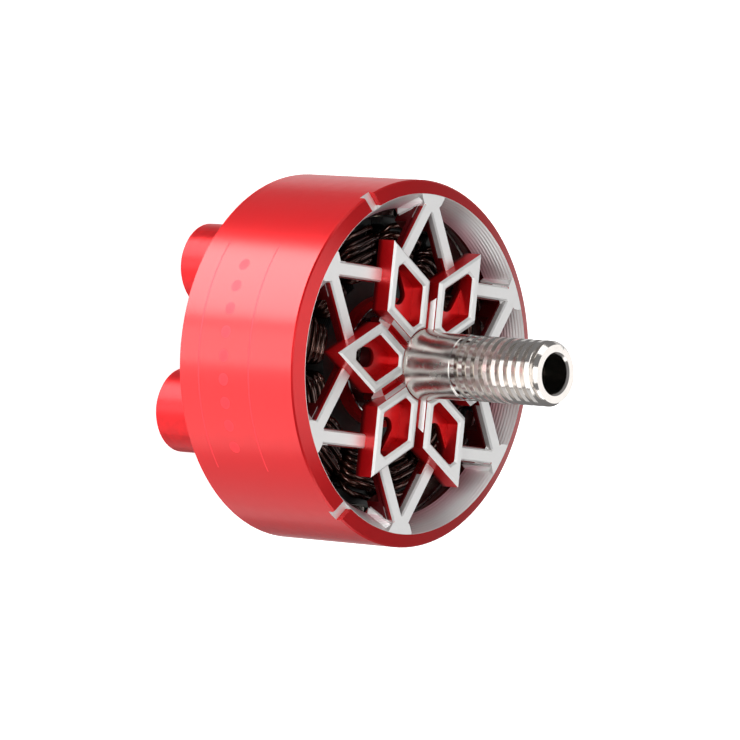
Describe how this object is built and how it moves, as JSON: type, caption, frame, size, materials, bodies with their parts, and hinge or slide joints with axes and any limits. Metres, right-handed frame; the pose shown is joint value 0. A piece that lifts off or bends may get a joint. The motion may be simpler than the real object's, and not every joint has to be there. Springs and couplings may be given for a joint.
{
  "type": "brushless outrunner motor",
  "caption": "Small brushless outrunner motor: a red bell with an open petal-patterned front turns on a short-legged base, with a hollow threaded propeller shaft.",
  "frame": {"origin": "centre of the mounting face, level with the feet of the four legs", "axes": "+Z along the shaft towards its threaded tip; +X and +Y each point midway between two legs"},
  "size_m": [0.028, 0.028, 0.0313],
  "materials": {
    "red_anodised_aluminium": "satin red anodised, with bare machined faces on the bell's front",
    "electrical_steel": "thin black epoxy-coated laminations",
    "enamelled_copper": "dark high-temperature enamel over copper",
    "plated_steel": "satin plated",
    "nickel_plated_magnet": "nickel plated",
    "polished_titanium": "polished, turned",
    "bearing_steel": "ground and polished",
    "shield_steel": "bright pressed sheet",
    "nylon_cage": "natural nylon",
    "shim_steel": "plain",
    "black_screw_steel": "black oxide"
  },
  "bodies": {
    "stator_side": {"base": "red_anodised_aluminium", "stator_core": "electrical_steel", "phase_a_windings": "enamelled_copper", "phase_b_windings": "enamelled_copper", "phase_c_windings": "enamelled_copper", "front_bearing_outer_ring": "bearing_steel", "rear_bearing_outer_ring": "bearing_steel", "front_bearing_shields": "shield_steel", "rear_bearing_shields": "shield_steel"},
    "rotor": {"bell": "red_anodised_aluminium", "flux_ring": "plated_steel", "north_magnets": "nickel_plated_magnet", "south_magnets": "nickel_plated_magnet", "shaft": "polished_titanium", "front_bearing_inner_ring": "bearing_steel", "rear_bearing_inner_ring": "bearing_steel", "front_shim": "shim_steel", "rear_shim": "shim_steel", "retaining_washer": "shim_steel", "retaining_screw": "black_screw_steel"},
    "front_ball_set": {"front_bearing_balls": "bearing_steel", "front_bearing_cage": "nylon_cage"},
    "rear_ball_set": {"rear_bearing_balls": "bearing_steel", "rear_bearing_cage": "nylon_cage"}
  },
  "joints": [
    {"name": "rotor_spin", "type": "hinge", "parent": "stator_side", "child": "rotor", "pos_m": [0, 0, 0.0126], "axis": [0, 0, 1], "continuous": true},
    {"name": "front_ball_set_spin", "type": "hinge", "parent": "stator_side", "child": "front_ball_set", "pos_m": [0, 0, 0.0126], "axis": [0, 0, 1], "continuous": true},
    {"name": "rear_ball_set_spin", "type": "hinge", "parent": "stator_side", "child": "rear_ball_set", "pos_m": [0, 0, 0.0036], "axis": [0, 0, 1], "continuous": true}
  ],
  "couplings": [
    {"joint": "front_ball_set_spin", "follows": "rotor_spin", "ratio": 0.3846},
    {"joint": "rear_ball_set_spin", "follows": "rotor_spin", "ratio": 0.3846}
  ]
}
